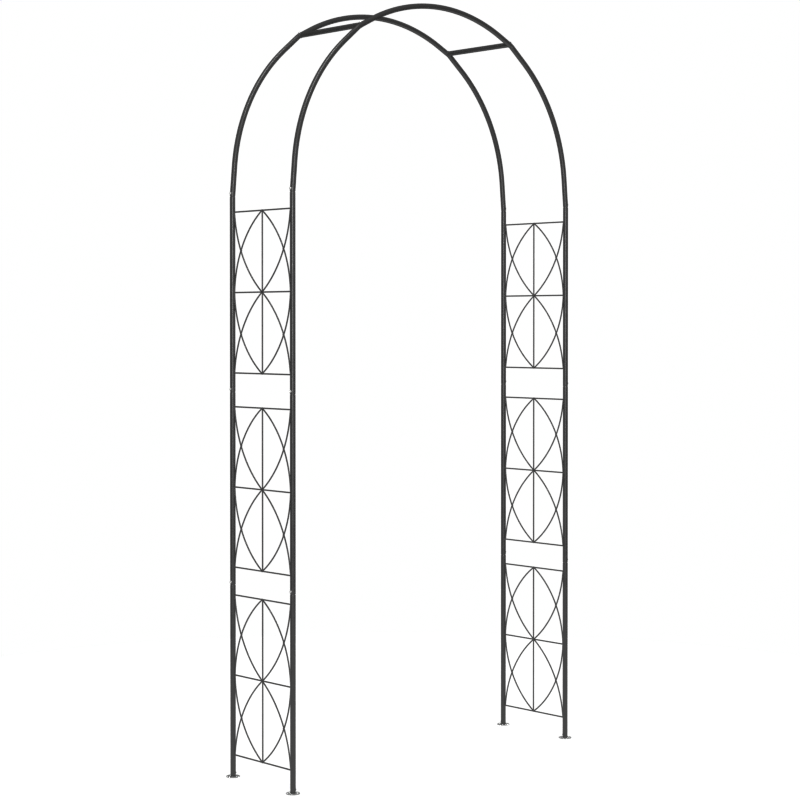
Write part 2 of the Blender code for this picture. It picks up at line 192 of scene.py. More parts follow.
class HoopSettings(bpy.types.PropertyGroup):
    """Shape of the two round hoops."""

    lean: angle("Lean", "How far a haunch leans in from upright at its foot", 4.8)
    straight: length("Straight run", "Length of a haunch below its bend", 91.0 * MM)
    haunch_radius: length("Haunch radius", "Bend radius of a haunch's centreline", 0.549)
    haunch_bend: angle("Haunch bend", "Angle from upright at the end of the haunch's bend", 49.8)
    haunch_end: length("Haunch end", "Straight length from the haunch's bend to the corner", 78.5 * MM)
    crown_end: length("Crown end", "Straight length from the corner to the crown's bend", 53.5 * MM)
    crown_half: angle("Crown half angle", "Half the angle that the crown turns through", 27.0)
    corner_ease: length("Corner ease", "How far from the corner its rounding starts", 3.0 * MM)


class TrellisSettings(bpy.types.PropertyGroup):
    """Shape of the rod trellis."""

    lens_radius: length("Lens radius", "Bend radius of the pointed lens", 0.309)
    scroll_radius: length("Scroll radius", "Bend radius of the S scrolls", 0.344)
    rod_radius: length("Rod radius", "Half the rod's thickness over its coat", 2.0 * MM)
    ladder_plane: length("Rail plane", "How far the rails lie inside the legs' plane", 0.8 * MM)
    scroll_plane: length("Scroll plane", "How far the scrolls lie outside it", 0.0 * MM)
    press: length("Press", "How far apart crossing rods lie once welded", 0.3 * MM)
    weld_bulge: length("Weld bulge", "How far a weld stands out from its rod", 0.7 * MM)
    arc_steps: count("Arc steps", "Rings along each quarter of a lens or scroll", 30, 4, 128)
    sides: count("Sides", "Facets round a rod", 16, 6, 64)


class FastenerSettings(bpy.types.PropertyGroup):
    """Shape of the pan-head screws and of the feet."""

    head_height: length("Head height", "Height of a joint screw's domed head", 2.5 * MM)
    low_head_height: length("Low head height", "Height of a foot screw's head", 1.5 * MM)
    shank_radius: length("Shank radius", "Half the thickness of the screw's shank", 1.9 * MM)
    recess_width: length("Recess width", "Width of each slot of the cross recess", 1.3 * MM)
    recess_span: length("Recess span", "Length of each slot of the cross recess", 5.0 * MM)
    recess_depth: share("Recess depth", "Depth of the cross recess, as a share of the head's height", 0.7)
    plate: length("Plate", "Thickness of a foot plate", 2.0 * MM)
    plate_edge: length("Plate edge", "Rounding of a foot plate's edge", 0.6 * MM)
    peg_hole: length("Peg hole", "Radius of a peg hole", 2.4 * MM)
    peg_pitch: length("Peg pitch", "Radius of the circle that the peg holes lie on", 14.5 * MM)
    countersink: length("Countersink", "Width of the bevel round a peg hole", 0.5 * MM)


class FinishSettings(bpy.types.PropertyGroup):
    """Colours and textures of the finishes."""

    coat: colour("Powder coat", "Charcoal of the powder coat", (0.021, 0.021, 0.0205))
    coat_rub: colour("Rubbed coat", "Powder coat rubbed thin on an edge", (0.060, 0.060, 0.058))
    coat_roughness: share("Coat roughness", "Roughness of the powder coat", 0.28)
    peel_size: length("Peel size", "Size of the coat's orange peel", 2.2 * MM)
    peel_depth: length("Peel depth", "Depth of the coat's orange peel", 0.014 * MM)
    plate_grey: colour("Foot plate", "Mid grey of the foot plates", (0.26, 0.26, 0.26))
    # At half metallic the zinc grey also shows as diffuse colour: a painted reflection of bright
    # surroundings on top of the plating's own grey.
    zinc: colour("Zinc plate", "Colour of the plated screws", (0.62, 0.62, 0.61))
    zinc_roughness: share("Zinc roughness", "Roughness of the zinc plate", 0.35)
    oxide: colour("Black oxide", "Colour of the blackened foot screws", (0.045, 0.045, 0.048))
    oxide_roughness: share("Oxide roughness", "Roughness of the black oxide", 0.42)


class StageSettings(bpy.types.PropertyGroup):
    """Camera, lights and floor."""

    bearing: angle("Bearing", "Where the camera stands, turned from the front to the left", 42.056)
    heading: angle("Heading", "Where the camera looks, turned from the passage", 41.864)
    tilt: angle("Tilt", "How far the camera looks down", 0.72)
    reach: length("Distance", "Distance from the arch's middle to the camera", 6.2697, 1.0, 50.0)
    height: length("Height", "Height of the camera", 1.3946, 0.0, 10.0)
    lens: FloatProperty(
        name="Lens",
        description="Focal length on a 36 mm sensor, in millimetres",
        default=87.80,
        min=10.0,
        max=300.0,
    )
    lift: FloatProperty(
        name="Lens shift",
        description="Vertical shift of the lens, as a share of the frame's width",
        default=-0.0651,
        min=-0.5,
        max=0.5,
        precision=4,
    )
    backdrop: share("Backdrop", "Brightness of the white surroundings", 1.0)
    ambient: share("Ambient", "Light that the surroundings give", 0.035)
    charcoal: share("Charcoal point", "Dark tone that the print curve leaves where it is", 0.04)
    floor: colour("Floor", "Colour of the pale floor", (0.90, 0.90, 0.90))
    floor_radius: length("Floor radius", "Radius of the round floor", 2.5, 1.0, 100.0)
    wash: FloatProperty(
        name="Floor wash",
        description="Strength of the light that only the floor gets",
        default=3.6,
        min=0.0,
    )
    key_power: power("Key power", "Power of the tall softbox behind the camera", 385.0)
    key_distance: length("Key distance", "Distance from the arch to the softbox", 7.0, 1.0, 50.0)
    key_height: length("Key height", "Height of the softbox's middle", 2.1, 0.0, 20.0)
    key_width: length("Key width", "Width of the softbox", 1.6, 0.1, 20.0)
    key_tall: length("Key length", "Length of the softbox", 3.0, 0.1, 20.0)
    boom_power: power("Boom power", "Power of the long softbox that hangs over the camera's side", 340.0)
    boom_height: angle("Boom height", "Angle of the long softbox above the arch's top", 50.0)
    boom_distance: length("Boom distance", "Distance from the arch's top", 5.0, 1.0, 50.0)
    boom_width: length("Boom width", "Width of the long softbox", 0.4, 0.1, 20.0)
    boom_long: length("Boom length", "Length of the long softbox", 4.5, 0.1, 20.0)
    rim_power: power("Rim power", "Power of the low softbox behind, for the foot plates only", 14.0)
    rim_distance: length("Rim distance", "Distance from the arch to the low softbox", 4.0, 1.0, 50.0)
    rim_height: length("Rim height", "Height of the low softbox's middle", 1.0, 0.0, 20.0)
    rim_width: length("Rim width", "Width of the low softbox", 1.8, 0.1, 20.0)
    rim_tall: length("Rim length", "Length of the low softbox", 1.0, 0.1, 20.0)


class TrellisArchSettings(bpy.types.PropertyGroup):
    """All the settings of the arch."""

    tube: PointerProperty(type=TubeSettings)
    hoop: PointerProperty(type=HoopSettings)
    trellis: PointerProperty(type=TrellisSettings)
    fastener: PointerProperty(type=FastenerSettings)
    finish: PointerProperty(type=FinishSettings)
    stage: PointerProperty(type=StageSettings)


# --- Meshes -------------------------------------------------------------------------


class Ring:
    """One round section of a bar or tube: a place, a direction, a radius and its wear."""

    def __init__(self, place, along, radius, rub=0.0):
        self.place = Vector(place)
        self.along = Vector(along).normalized()
        self.radius = radius
        self.rub = rub


def skin(shape, rings, across, sides, closed):
    """Join rings into a round skin. A closed one returns to its first ring."""
    rub = shape.verts.layers.float.get("rub") or shape.verts.layers.float.new("rub")
    loops = []
    for ring in rings:
        first = (across - ring.along * across.dot(ring.along)).normalized()
        second = ring.along.cross(first)
        loop = []
        for index in range(sides):
            turn = math.tau * index / sides
            spoke = first * math.cos(turn) + second * math.sin(turn)
            vert = shape.verts.new(ring.place + spoke * ring.radius)
            vert[rub] = ring.rub
            loop.append(vert)
        loops.append(loop)
    pairs = list(zip(loops, loops[1:]))
    if closed:
        pairs.append((loops[-1], loops[0]))
    for low, high in pairs:
        for index in range(sides):
            after = (index + 1) % sides
            shape.faces.new((low[index], low[after], high[after], high[index]))
    if not closed:
        shape.faces.new(reversed(loops[0]))
        shape.faces.new(loops[-1])


def finish_shape(shape, name, sharp=math.radians(40)):
    """Turn a bmesh into a smooth-shaded mesh and free it."""
    bmesh.ops.recalc_face_normals(shape, faces=shape.faces)
    mesh = bpy.data.meshes.new(name)
    shape.to_mesh(mesh)
    shape.free()
    mesh.shade_smooth()
    mesh.set_sharp_from_angle(angle=sharp)
    return mesh


def spread(start, end, step):
    """Return evenly spaced values from start up to, but not including, end."""
    parts = max(1, math.ceil(abs(end - start) / step))
    return [start + (end - start) * index / parts for index in range(parts)]


def place_piece(name, mesh, material, matrix=None, nodes=()):
    """Add one finished piece to the scene, in place, riding on the arch."""
    own = mesh.copy()
    if matrix is not None:
        own.transform(matrix)
    own.name = name
    own.materials.clear()
    own.materials.append(material)
    piece = bpy.data.objects.new(name, own)
    bpy.context.scene.collection.objects.link(piece)
    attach(piece, "root")
    if nodes:
        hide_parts(*nodes)
    return piece


def turned(side, place):
    """Return the move of a left-hand piece to a place, turned round where that is on the right."""
    turn = Matrix.Rotation(math.pi if side > 0 else 0.0, 4, "Z")
    return Matrix.Translation(place) @ turn


def corner_matrix(side, end):
    """Return the move that takes a left-hand piece from the Z axis to a corner leg."""
    return turned(side, (side * HALF_SPAN, end * HALF_DEPTH, 0.0))


def side_matrix(side, depth=0.0):
    """Return the turn and move that take a left-hand piece to a side."""
    return turned(side, (0.0, depth, 0.0))


def corners():
    """Return the four legs' names, with their side and end."""
    found = []
    for side_name, side in SIDES.items():
        for end_name, end in ENDS.items():
            found.append((f"{side_name}_{end_name}", side, end))
    return found


def carved(mesh, tools):
    """Return a mesh with other meshes cut out of it."""
    body = bpy.data.objects.new("body", mesh)
    bpy.context.scene.collection.objects.link(body)
    used = [body]
    for tool in tools:
        cutter = bpy.data.objects.new("cutter", tool)
        bpy.context.scene.collection.objects.link(cutter)
        used.append(cutter)
        modifier = body.modifiers.new("Cut", "BOOLEAN")
        modifier.operation = "DIFFERENCE"
        modifier.solver = "EXACT"
        modifier.object = cutter
    depsgraph = bpy.context.evaluated_depsgraph_get()
    result = bpy.data.meshes.new_from_object(body.evaluated_get(depsgraph))
    for obj in used:
        bpy.data.objects.remove(obj, do_unlink=True)
    result.shade_smooth()
    result.set_sharp_from_angle(angle=math.radians(30))
    return result


def tube_rings(route, start, end, tube, spigot_tip=None):
    """Return the rings of a hollow tube along a route, out along its skin and back inside.

    The start is a socket with a rounded lip. The end is another one or, where a
    spigot tip is given, a shoulder swaged down to a spigot.
    """
    bore = TUBE_RADIUS - tube.wall
    lip = tube.lip
    outline = [
        (start, TUBE_RADIUS - lip, 0.9),
        (start + 0.3 * lip, TUBE_RADIUS - 0.3 * lip, 1.0),
        (start + lip, TUBE_RADIUS, 0.5),
        (start + 3 * lip, TUBE_RADIUS, 0.0),
    ]
    if spigot_tip is None:
        plain = spread(start + 6 * lip, end - 3 * lip, tube.step)
        outline += [(t, TUBE_RADIUS, 0.0) for t in plain]
        outline += [
            (end - 3 * lip, TUBE_RADIUS, 0.0),
            (end - lip, TUBE_RADIUS, 0.5),
            (end - 0.3 * lip, TUBE_RADIUS - 0.3 * lip, 1.0),
            (end, TUBE_RADIUS - lip, 0.9),
            (end, bore, 0.0),
        ]
        outline += [(t, bore, 0.0) for t in spread(end - lip, start, tube.step)]
    else:
        foot = end - tube.shoulder
        spigot = TUBE_RADIUS - tube.swage
        outline += [(t, TUBE_RADIUS, 0.0) for t in spread(start + 6 * lip, foot, tube.step)]
        for index in range(SWAGE_STEPS + 1):
            way = index / SWAGE_STEPS
            ease = (1 - math.cos(math.pi * way)) / 2
            outline.append((foot + tube.shoulder * way, TUBE_RADIUS - tube.swage * ease, 0.15))
        outline += [(t, spigot, 0.0) for t in spread(end + lip, spigot_tip, tube.step)]
        outline.append((spigot_tip, spigot - lip, 0.0))
        outline.append((spigot_tip, spigot - tube.wall, 0.0))
        outline.append((end, spigot - tube.wall, 0.0))
        outline += [(t, bore, 0.0) for t in spread(foot, start, tube.step)]
    outline.append((start, bore, 0.0))
    rings = []
    for travel, radius, rub in outline:
        place, along = route(travel)
        rings.append(Ring(place, along, radius, rub))
    return rings


def leg_route(joint, lean):
    """Return the route of a leg tube whose spigot leans above its joint."""
    upright = Vector((0.0, 0.0, 1.0))
    leaning = Vector((math.sin(lean), 0.0, math.cos(lean)))

    def route(travel):
        if travel <= joint:
            return upright * travel, upright
        return upright * joint + leaning * (travel - joint), leaning

    return route


# --- Legs ---------------------------------------------------------------------------


def leg_mesh(section, lean, tube):
    """Return one leg tube, standing on the Z axis."""
    bottom = LEG_BASE if section == 0 else JOINT_LIPS[section - 1]
    lip = JOINT_LIPS[section] + TUBE_RADIUS * math.sin(lean)
    joint = lip - SOCKET_SEAM
    straight = 4 * tube.step
    rings = tube_rings(leg_route(joint, lean), bottom, joint, tube, lip + SPIGOT_LENGTH)
    kept = []
    for ring in rings:
        plain = ring.rub == 0.0 and kept and abs(ring.radius - kept[-1].radius) < 1e-9
        if plain and kept[-1].rub == 0.0 and abs(ring.place.z - kept[-1].place.z) < straight:
            continue
        kept.append(ring)
    if kept[-1] is not rings[-1]:
        kept.append(rings[-1])
    shape = bmesh.new()
    skin(shape, kept, Vector((1, 0, 0)), tube.sides, closed=True)
    return finish_shape(shape, "leg")


# --- Hoops --------------------------------------------------------------------------


class HoopLine:
    """Centreline of the front hoop, travelled from the left leg's top joint."""

    def __init__(self, hoop):
        self.lean = hoop.lean
        self.lean_along = Vector((math.sin(hoop.lean), 0.0, math.cos(hoop.lean)))
        self.lean_outward = Vector((-math.cos(hoop.lean), 0.0, math.sin(hoop.lean)))
        lip_height = JOINT_LIPS[2] + TUBE_RADIUS * math.sin(hoop.lean)
        self.lip = Vector((-HALF_SPAN, 0.0, lip_height))
        self.straight = hoop.straight
        self.haunch_radius = hoop.haunch_radius
        self.bend_start = self.lip + self.lean_along * hoop.straight
        bend = hoop.haunch_bend
        self.bend_end = hoop.straight + hoop.haunch_radius * (bend - hoop.lean)
        self.haunch_along = Vector((math.sin(bend), 0.0, math.cos(bend)))
        half = hoop.crown_half
        self.crown_along = Vector((math.cos(half), 0.0, math.sin(half)))
        self.crown_outward = Vector((-math.sin(half), 0.0, math.cos(half)))
        self.corner_place = self.bend_place(bend) + self.haunch_along * hoop.haunch_end
        self.crossbar = self.corner_place + self.crown_along * SCREW_ABOVE_LIP
        self.ease = hoop.corner_ease
        self.ease_start = self.bend_end + hoop.haunch_end - self.ease
        self.ease_from = self.corner_place - self.haunch_along * self.ease
        self.ease_span = (self.crown_along + self.haunch_along) * self.ease
        self.joint = self.ease_start + self.ease_span.length / 2
        self.crown_start = self.ease_start + self.ease_span.length
        self.crown_bend = self.crown_start + hoop.crown_end - self.ease
        bend_place = self.corner_place + self.crown_along * hoop.crown_end
        self.crown_half = half
        self.crown_radius = -bend_place.x / math.sin(half)
        self.crown_z = bend_place.z - self.crown_radius * math.cos(half)
        self.middle = self.crown_bend + self.crown_radius * half

    def bend_place(self, turn):
        """Return the place on the haunch's bend that lies at an angle from upright."""
        x = self.bend_start.x + self.haunch_radius * (math.cos(self.lean) - math.cos(turn))
        z = self.bend_start.z + self.haunch_radius * (math.sin(turn) - math.sin(self.lean))
        return Vector((x, 0.0, z))

    def left(self, travel):
        """Return a place and direction on the left half."""
        if travel <= self.straight:
            return self.lip + self.lean_along * travel, self.lean_along
        if travel <= self.bend_end:
            turn = self.lean + (travel - self.straight) / self.haunch_radius
            return self.bend_place(turn), Vector((math.sin(turn), 0, math.cos(turn)))
        if travel <= self.ease_start:
            back = self.haunch_along * (self.ease_start - travel)
            return self.ease_from - back, self.haunch_along
        if travel <= self.crown_start:
            way = (travel - self.ease_start) / self.ease_span.length
            along = self.haunch_along.lerp(self.crown_along, way)
            return self.ease_from + self.ease_span * way, along
        if travel <= self.crown_bend:
            run = travel - self.crown_start + self.ease
            return self.corner_place + self.crown_along * run, self.crown_along
        turn = self.crown_half - (travel - self.crown_bend) / self.crown_radius
        x = -self.crown_radius * math.sin(turn)
        z = self.crown_z + self.crown_radius * math.cos(turn)
        return Vector((x, 0, z)), Vector((math.cos(turn), 0, math.sin(turn)))

    def route(self, travel):
        """Return a place and direction anywhere on the hoop."""
        if travel <= self.middle:
            return self.left(travel)
        place, along = self.left(2 * self.middle - travel)
        return Vector((-place.x, 0, place.z)), Vector((along.x, 0, -along.z))


def haunch_mesh(line, tube):
    """Return the left haunch, in the plane of the X and Z axes."""
    joint = line.joint - SOCKET_SEAM
    tip = line.crown_start + SPIGOT_LENGTH - line.ease
    shape = bmesh.new()
    rings = tube_rings(line.route, 0.0, joint, tube, tip)
    skin(shape, rings, Vector((0, 1, 0)), tube.sides, closed=True)
    return finish_shape(shape, "haunch")


def crown_mesh(line, tube):
    """Return a crown, in the plane of the X and Z axes."""
    start = line.joint
    shape = bmesh.new()
    rings = tube_rings(line.route, start, 2 * line.middle - start, tube)
    skin(shape, rings, Vector((0, 1, 0)), tube.sides, closed=True)
    return finish_shape(shape, "crown")


def saddle_depth(offset):
    """Return how far from a hoop's axis a crossbar meets its skin, for an offset from it."""
    return math.sqrt(max(TUBE_RADIUS ** 2 - offset ** 2, 0.0))


def crossbar_mesh(line, tube):
    """Return the left crossbar, coped at both ends over the hoops' skins."""
    bore = TUBE_RADIUS - tube.wall
    bite = 0.4 * MM
    plain_half = 0.1
    ring_step = 0.02
    shape = bmesh.new()
    rings = []
    for radius, way in ((TUBE_RADIUS, 1), (bore, -1)):
        plain = spread(-plain_half, plain_half, ring_step)
        for depth in [-HALF_DEPTH, *plain, plain_half, HALF_DEPTH][::way]:
            place = line.crossbar + Vector((0, depth, 0))
            rings.append(Ring(place, (0, 1, 0), radius))
    skin(shape, rings, line.crown_outward, tube.sides, closed=True)
    for vert in shape.verts:
        if abs(vert.co.y) > HALF_DEPTH - MM:
            offset = (vert.co - line.crossbar).dot(line.crown_outward)
            reach = HALF_DEPTH - saddle_depth(offset) + bite
            vert.co.y = math.copysign(reach, vert.co.y)
    return finish_shape(shape, "crossbar")


def crossbar_weld_mesh(line):
    """Return the rippled weld beads that run round both ends of the left crossbar."""
    bead = 1.05 * MM
    stand_off = 1.6 * MM
    ripples = 30
    ripple_height = 0.10
    lumpiness = 0.12
    turns = 180
    sides = 10
    shape = bmesh.new()
    for end in ENDS.values():
        loop_places = []
        for index in range(turns):
            turn = math.tau * index / turns
            offset = TUBE_RADIUS * math.cos(turn)
            along = TUBE_RADIUS * math.sin(turn)
            depth = math.sqrt(saddle_depth(offset) ** 2 + stand_off ** 2)
            place = line.crossbar + line.crown_outward * offset + line.crown_along * along
            loop_places.append(place + Vector((0, end * (HALF_DEPTH - depth), 0)))
        rings = []
        for index, place in enumerate(loop_places):
            ahead = loop_places[(index + 1) % turns]
            behind = loop_places[index - 1]
            ripple = 1 + ripple_height * math.sin(math.tau * ripples * index / turns)
            lump = 1 + lumpiness * noise.noise(place * 900)
            rings.append(Ring(place, ahead - behind, bead * ripple * lump))
        skin(shape, rings, Vector((0, 1, 0)), sides, closed=True)
    return finish_shape(shape, "crossbar_weld")


# --- Trellis ------------------------------------------------------------------------


class PanelPlan:
    """Layout of one left-hand trellis panel, from its bottom rail's centreline."""

    def __init__(self, trellis):
        self.rod = trellis.rod_radius
        self.cell = (PANEL_HEIGHT - 2 * self.rod) / 2
        self.post_face = HALF_DEPTH - TUBE_RADIUS
        self.reach = self.post_face - self.rod
        self.steps = trellis.arc_steps
        self.rail_x = trellis.ladder_plane
        self.upright_x = trellis.ladder_plane + trellis.press
        self.lens_x = -trellis.scroll_plane
        self.scroll_x = -trellis.scroll_plane - trellis.press
        self.lens_radius = trellis.lens_radius
        self.scroll_radius = trellis.scroll_radius

    def quarter(self, radius):
        """Return the arc from the leg, at height 0, to the middle, one cell higher."""
        leg_end = Vector((self.reach, 0.0))
        middle_end = Vector((0.0, self.cell))
        half_chord = (middle_end - leg_end).length / 2
        outward = Vector((self.cell, self.reach)).normalized()
        centre = (leg_end + middle_end) / 2
        centre -= outward * math.sqrt(radius ** 2 - half_chord ** 2)
        start = math.atan2(leg_end.y - centre.y, leg_end.x - centre.x)
        sweep = 2 * math.asin(half_chord / radius)
        points = []
        for step in range(self.steps + 1):
            turn = start + sweep * step / self.steps
            y = centre.x + radius * math.cos(turn)
            z = centre.y + radius * math.sin(turn)
            points.append((y, z))
        return points

    def lens(self, side):
        """Return one side of the lens, with both tips run on past the middle."""
        arc = self.quarter(self.lens_radius)
        top = [Vector((self.lens_x, side * y, self.cell + z)) for y, z in reversed(arc)]
        low = [Vector((self.lens_x, side * y, self.cell - z)) for y, z in arc[1:]]
        path = top + low
        start = path[0] + (path[0] - path[1]).normalized() * self.rod
        end = path[-1] + (path[-1] - path[-2]).normalized() * self.rod
        return [start, *path, end]

    def scroll(self, side):
        """Return one S scroll, from a leg at the top to the other leg at the bottom."""
        arc = self.quarter(self.scroll_radius)
        top = [Vector((self.scroll_x, side * y, 2 * self.cell - z)) for y, z in arc]
        low = [Vector((self.scroll_x, -side * y, z)) for y, z in reversed(arc[:-1])]
        return top + low

    def crossing(self):
        """Return where a lens and a scroll cross in the cell above the middle rail."""
        lens = self.quarter(self.lens_radius)
        scroll = [(y, self.cell - z) for y, z in self.quarter(self.scroll_radius)]
        gaps = [(abs(a[0] - b[0]) + abs(a[1] - b[1]), a, b) for a in lens for b in scroll]
        nearest = min(gaps)
        return (nearest[1][0] + nearest[2][0]) / 2, (nearest[1][1] + nearest[2][1]) / 2


def bar(shape, path, radii, across, sides):
    """Skin a solid bar along a path."""
    rings = []
    last = len(path) - 1
    for index, place in enumerate(path):
        ahead = path[min(index + 1, last)]
        behind = path[max(index - 1, 0)]
        rings.append(Ring(place, ahead - behind, radii[index]))
    skin(shape, rings, across, sides, closed=False)


def flared_rail(shape, start, end, plan, trellis):
    """Skin a straight rod whose welded ends flare into a fillet."""
    span = end - start
    total = span.length
    flare = 3.2 * MM
    flare_steps = 8
    fillet_fade = 0.9 * MM
    marks = [flare * (index / flare_steps) ** 1.5 for index in range(flare_steps + 1)]
    plain = spread(2 * flare, total - 2 * flare, 0.02)
    travels = marks + plain + [total - mark for mark in reversed(marks)]
    path = [start + span * (travel / total) for travel in travels]
    radii = []
    for travel, place in zip(travels, path):
        inset = min(travel, total - travel)
        fillet = trellis.weld_bulge * 1.8 * math.exp(-inset / fillet_fade)
        lump = 1 + 0.15 * noise.noise(place * 700)
        radii.append(plan.rod + fillet * lump)
    bar(shape, path, radii, Vector((1, 0, 0)), trellis.sides)


def ladder_mesh(plan, trellis):
    """Return the three rails and the centre rod of a left panel."""
    shape = bmesh.new()
    end = plan.post_face + 0.5 * MM
    for index in range(3):
        height = index * plan.cell
        low = Vector((plan.rail_x, -end, height))
        flared_rail(shape, low, Vector((plan.rail_x, end, height)), plan, trellis)
    top = 2 * plan.cell
    low = Vector((plan.upright_x, 0, 0))
    flared_rail(shape, low, Vector((plan.upright_x, 0, top)), plan, trellis)
    return finish_shape(shape, "rail_ladder")


def scrollwork_mesh(plan, trellis):
    """Return the two lens rods and the two scroll rods of a left panel."""
    shape = bmesh.new()
    for path_of in (plan.lens, plan.scroll):
        for side in ENDS.values():
            path = path_of(side)
            radii = [plan.rod] * len(path)
            radii[0] = radii[-1] = 0.8 * plan.rod
            bar(shape, path, radii, Vector((1, 0, 0)), trellis.sides)
    return finish_shape(shape, "scrollwork")


def nugget(shape, centre, radii, seed):
    """Add one lumpy weld nugget, whose lumps vary with its seed."""
    lumpiness = 0.16
    made = bmesh.ops.create_icosphere(shape, subdivisions=3, radius=1.0)
    for vert in made["verts"]:
        lump = 1 + lumpiness * noise.noise(vert.co * 1.7 + Vector((seed * 3.1, seed * 1.7, 0)))
        vert.co = centre + Vector([a * b * lump for a, b in zip(vert.co, radii)])


def panel_weld_mesh(plan, trellis):
    """Return the weld nuggets of a left panel: at every crossing and at the legs."""
    shape = bmesh.new()
    shape.verts.layers.float.new("rub")
    bulge = trellis.weld_bulge
    rod = plan.rod
    seed = 0
    cross_y, cross_z = plan.crossing()
    scroll_x = (plan.lens_x + plan.scroll_x) / 2
    for side in ENDS.values():
        for height in (plan.cell - cross_z, plan.cell + cross_z):
            seed += 1
            place = Vector((scroll_x, side * cross_y, height))
            nugget(shape, place, (rod + bulge, 1.3 * rod, 1.9 * rod), seed)
        for index in range(3):
            seed += 1
            contact = Vector((scroll_x, side * (plan.post_face + 0.1 * MM), index * plan.cell))
            nugget(shape, contact, (0.9 * rod, 0.6 * rod, 2.4 * rod), seed)
    for index in range(3):
        seed += 1
        place = Vector((0, 0, index * plan.cell))
        nugget(shape, place, (1.35 * rod, rod + bulge, rod + bulge), seed)
    return finish_shape(shape, "panel_weld")


# --- Screws and feet ----------------------------------------------------------------


def slot_tool(fastener, tall, turn):
    """Return one tapered slot of a cross recess, sunk into a head's top."""
    top = tall + MM
    floor = tall * (1 - fastener.recess_depth)
    shape = bmesh.new()
    bmesh.ops.create_cube(shape, size=1.0)
    for vert in shape.verts:
        high = vert.co.z > 0
        span = fastener.recess_span * (1.25 if high else 0.35)
        width = fastener.recess_width * (1.15 if high else 0.7)
        vert.co = Vector((vert.co.x * span, vert.co.y * width, top if high else floor))
    bmesh.ops.rotate(shape, verts=shape.verts, matrix=Matrix.Rotation(turn, 3, "Z"))
    return finish_shape(shape, "slot")


def screw_mesh(fastener, tall, total):
    """Return a pan-head screw with a cross recess, its head's underside at the origin."""
    head = SCREW_HEAD_RADIUS
    shank_end = tall - total + 0.2 * MM
    outline = [(0.25 * head, tall)]
    for index in range(10):
        turn = math.pi / 2 * index / 9
        radius = head * (0.45 + 0.55 * math.sin(turn))
        outline.append((radius, tall * (0.28 + 0.70 * math.cos(turn))))
    outline += [
        (head, 0.12 * tall),
        (head - 0.15 * MM, 0.0),
        (fastener.shank_radius, 0.0),
        (fastener.shank_radius, shank_end + MM),
        (0.3 * fastener.shank_radius, shank_end),
    ]
    shape = bmesh.new()
    rings = [Ring((0, 0, height), (0, 0, -1), radius) for radius, height in outline]
    skin(shape, rings, Vector((1, 0, 0)), 40, closed=False)
    solid = finish_shape(shape, "screw")
    return carved(solid, [slot_tool(fastener, tall, turn) for turn in (0.0, math.pi / 2)])


def hole_tool(fastener, turn):
    """Return the shape of one bevelled peg hole."""
    radius = fastener.peg_hole
    bevel = fastener.countersink
    top = fastener.plate
    place = Vector((math.cos(turn), math.sin(turn), 0)) * fastener.peg_pitch
    outline = [
        (radius + bevel + 0.2 * MM, top + 0.2 * MM),
        (radius, top - bevel),
        (radius, 0.3 * MM),
        (radius + 0.5 * MM, -0.2 * MM),
    ]
    shape = bmesh.new()
    rings = [Ring(place + Vector((0, 0, z)), (0, 0, -1), r) for r, z in outline]
    skin(shape, rings, Vector((1, 0, 0)), 32, closed=False)
    return finish_shape(shape, "hole")


def foot_mesh(fastener, tube):
    """Return a round foot plate with its peg holes and its plug."""
    edge = fastener.plate_edge
    thick = fastener.plate
    plug = TUBE_RADIUS - tube.wall - 0.6 * MM
    outline = [
        (0.3 * MM, thick),
        (plug - MM, thick),
        (plug - MM, PLUG_TOP),
        (plug, PLUG_TOP),
        (plug, thick),
        (FOOT_RADIUS - 2 * edge, thick),
    ]
    for index in range(7):
        turn = math.pi / 2 * index / 6
        inset = edge * (1 - math.sin(turn))
        drop = edge * (1 - math.cos(turn))
        outline.append((FOOT_RADIUS - inset, thick - drop))
    outline += [(FOOT_RADIUS, 0.4 * MM), (FOOT_RADIUS - 0.3 * MM, 0.0), (0.3 * MM, 0.0)]
    shape = bmesh.new()
    rub = {len(outline) - 6: 0.6, len(outline) - 7: 0.6}
    rings = []
    for index, (radius, height) in enumerate(outline):
        rings.append(Ring((0, 0, height), (0, 0, -1), radius, rub.get(index, 0.0)))
    skin(shape, rings, Vector((1, 0, 0)), 96, closed=False)
    solid = finish_shape(shape, "foot")
    turns = [math.pi / 4 + math.pi / 2 * index for index in range(4)]
    return carved(solid, [hole_tool(fastener, turn) for turn in turns])


# --- Finishes -----------------------------------------------------------------------


